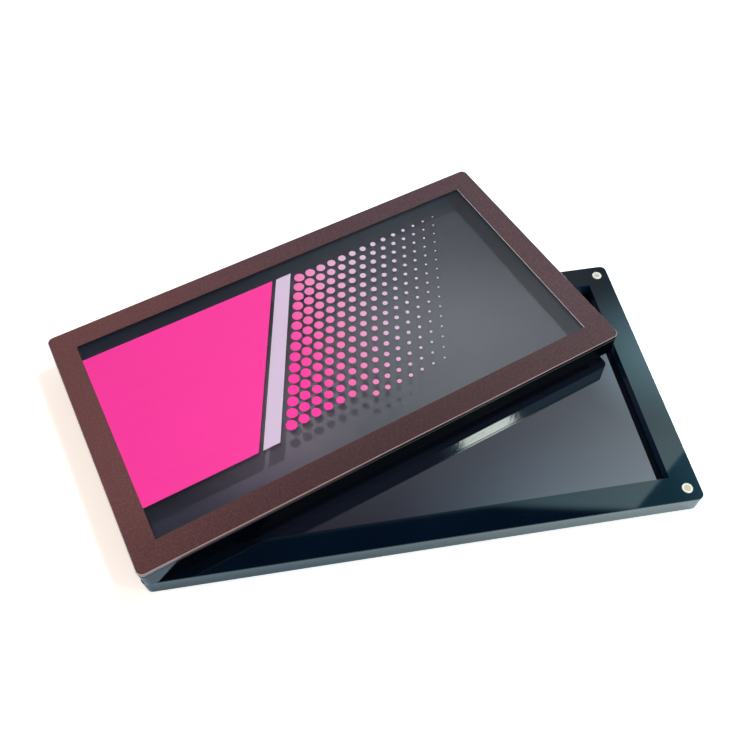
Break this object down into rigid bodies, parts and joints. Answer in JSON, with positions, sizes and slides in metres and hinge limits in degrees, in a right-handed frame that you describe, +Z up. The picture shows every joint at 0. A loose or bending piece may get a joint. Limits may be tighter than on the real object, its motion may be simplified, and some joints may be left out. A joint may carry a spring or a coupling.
{
  "type": "two-tier magnetic make-up palette",
  "caption": "Flat empty make-up palette: shallow black acrylic trays with magnetic floors, stacked on corner magnets and swivelled open, under a clear lid with a printed border.",
  "frame": {"origin": "middle of the lower tray's underside", "axes": "+X along the lower tray's long side, to the right as pictured; +Y to the back; +Z up"},
  "size_m": [0.237, 0.1749, 0.0183],
  "materials": {
    "black_acrylic": "polished black cast acrylic",
    "magnetic_sheet": "smooth semi-gloss flexible magnetic sheet",
    "magnet": "nickel plated disc magnet",
    "clear_acrylic": "clear polished acrylic",
    "border_ink": "satin brown printed ink with a fine grain"
  },
  "bodies": {
    "lower_tray": {"lower_base_plate": "black_acrylic", "lower_front_rail": "black_acrylic", "lower_back_rail": "black_acrylic", "lower_left_rail": "black_acrylic", "lower_right_rail": "black_acrylic", "lower_magnetic_sheet": "magnetic_sheet", "lower_top_magnet_front_left": "magnet", "lower_top_magnet_front_right": "magnet", "lower_top_magnet_back_left": "magnet", "lower_top_magnet_back_right": "magnet"},
    "upper_tray": {"upper_base_plate": "black_acrylic", "upper_front_rail": "black_acrylic", "upper_back_rail": "black_acrylic", "upper_left_rail": "black_acrylic", "upper_right_rail": "black_acrylic", "upper_magnetic_sheet": "magnetic_sheet", "upper_top_magnet_front_left": "magnet", "upper_top_magnet_front_right": "magnet", "upper_top_magnet_back_left": "magnet", "upper_top_magnet_back_right": "magnet", "upper_bottom_magnet_front_left": "magnet", "upper_bottom_magnet_front_right": "magnet", "upper_bottom_magnet_back_left": "magnet", "upper_bottom_magnet_back_right": "magnet"},
    "lid": {"lid_panel": "clear_acrylic", "lid_border_print": "border_ink", "lid_magnet_front_left": "magnet", "lid_magnet_front_right": "magnet", "lid_magnet_back_left": "magnet", "lid_magnet_back_right": "magnet"}
  },
  "joints": [
    {"name": "upper_swivel", "type": "hinge", "parent": "lower_tray", "child": "upper_tray", "pos_m": [-0.0951, -0.05185, 0.0081], "axis": [0, 0, 1], "range_deg": [-20.5, 39.5]},
    {"name": "lid_lift", "type": "slide", "parent": "upper_tray", "child": "lid", "axis": [0, 0, 1], "range_m": [0, 0.06]}
  ]
}
